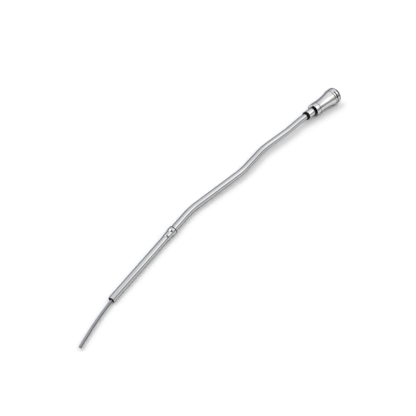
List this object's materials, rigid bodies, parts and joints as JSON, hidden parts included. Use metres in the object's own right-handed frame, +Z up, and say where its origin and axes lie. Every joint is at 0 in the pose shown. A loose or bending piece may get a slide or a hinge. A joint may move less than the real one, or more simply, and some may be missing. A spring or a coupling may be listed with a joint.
{
  "type": "engine oil dipstick",
  "caption": "Engine oil dipstick: a round steel rod on a turned waisted handle, seated in a bent chrome guide tube with a stop collar.",
  "frame": {"origin": "on the surface that the part lies on, under the middle of its box", "axes": "+X from the rod's tip to the handle, along the tube's lower run; +Z up from the surface; the tube bends towards -Y"},
  "size_m": [0.5774, 0.0752, 0.0256],
  "materials": {
    "chrome_plate": "bright chrome plate on drawn steel tube",
    "rod_steel": "drawn steel, fine lengthwise lines",
    "black_rubber": "moulded black rubber, slight sheen",
    "polished_aluminium": "turned and polished, faint turning lines"
  },
  "bodies": {
    "root": {"guide_tube": "chrome_plate", "stop_collar": "chrome_plate", "dip_rod": "rod_steel", "tube_seal": "black_rubber", "handle_sleeve": "polished_aluminium", "face_seal": "black_rubber", "handle": "polished_aluminium"}
  },
  "joints": []
}
